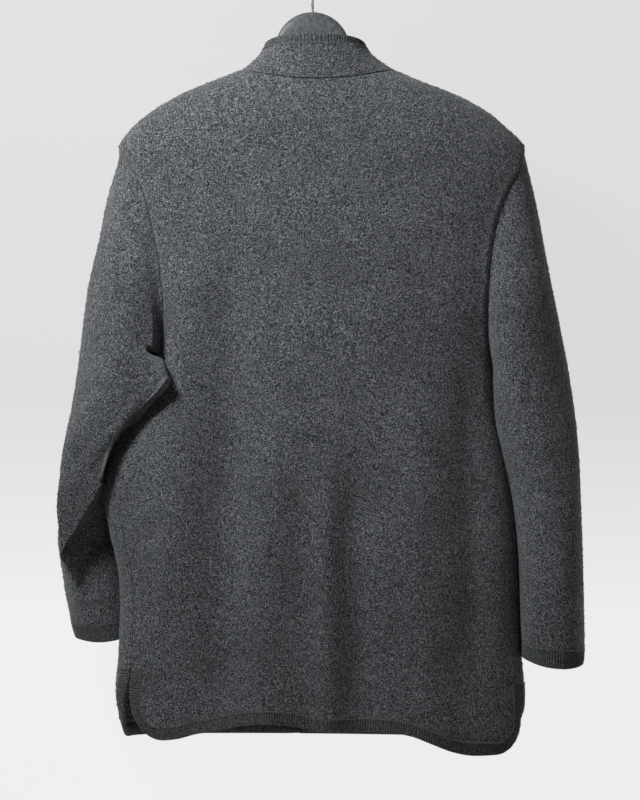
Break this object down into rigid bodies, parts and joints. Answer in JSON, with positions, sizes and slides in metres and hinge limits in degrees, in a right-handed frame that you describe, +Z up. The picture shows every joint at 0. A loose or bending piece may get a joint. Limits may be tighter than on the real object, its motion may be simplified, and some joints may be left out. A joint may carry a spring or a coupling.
{
  "type": "wool jacket on a hanger",
  "caption": "Hip-length boiled wool jacket with a stand collar, rib-knit bands and side slits, hung on a hanger.",
  "frame": {"origin": "inside top of the hanger hook's crook, where a rail or nail holds it", "axes": "+Z up, +Y out of the jacket's back, +X to the wearer's left"},
  "size_m": [0.6053, 0.1814, 0.9111],
  "materials": {
    "wool": "felted charcoal melange",
    "rib": "fine rib knit",
    "button": "dark horn look",
    "hanger": "satin dark grey",
    "hook": "polished wire"
  },
  "bodies": {
    "root": {"back": "wool", "front_left": "wool", "front_right": "wool", "sleeve_left": "wool", "sleeve_right": "wool", "collar": "wool", "band_collar": "rib", "band_cuff_left": "rib", "band_cuff_right": "rib", "band_hem_back": "rib", "band_hem_front_left": "rib", "band_hem_front_right": "rib", "button_1": "button", "button_2": "button", "button_3": "button", "button_4": "button", "button_5": "button", "hanger": "hanger", "hook": "hook"}
  },
  "joints": []
}
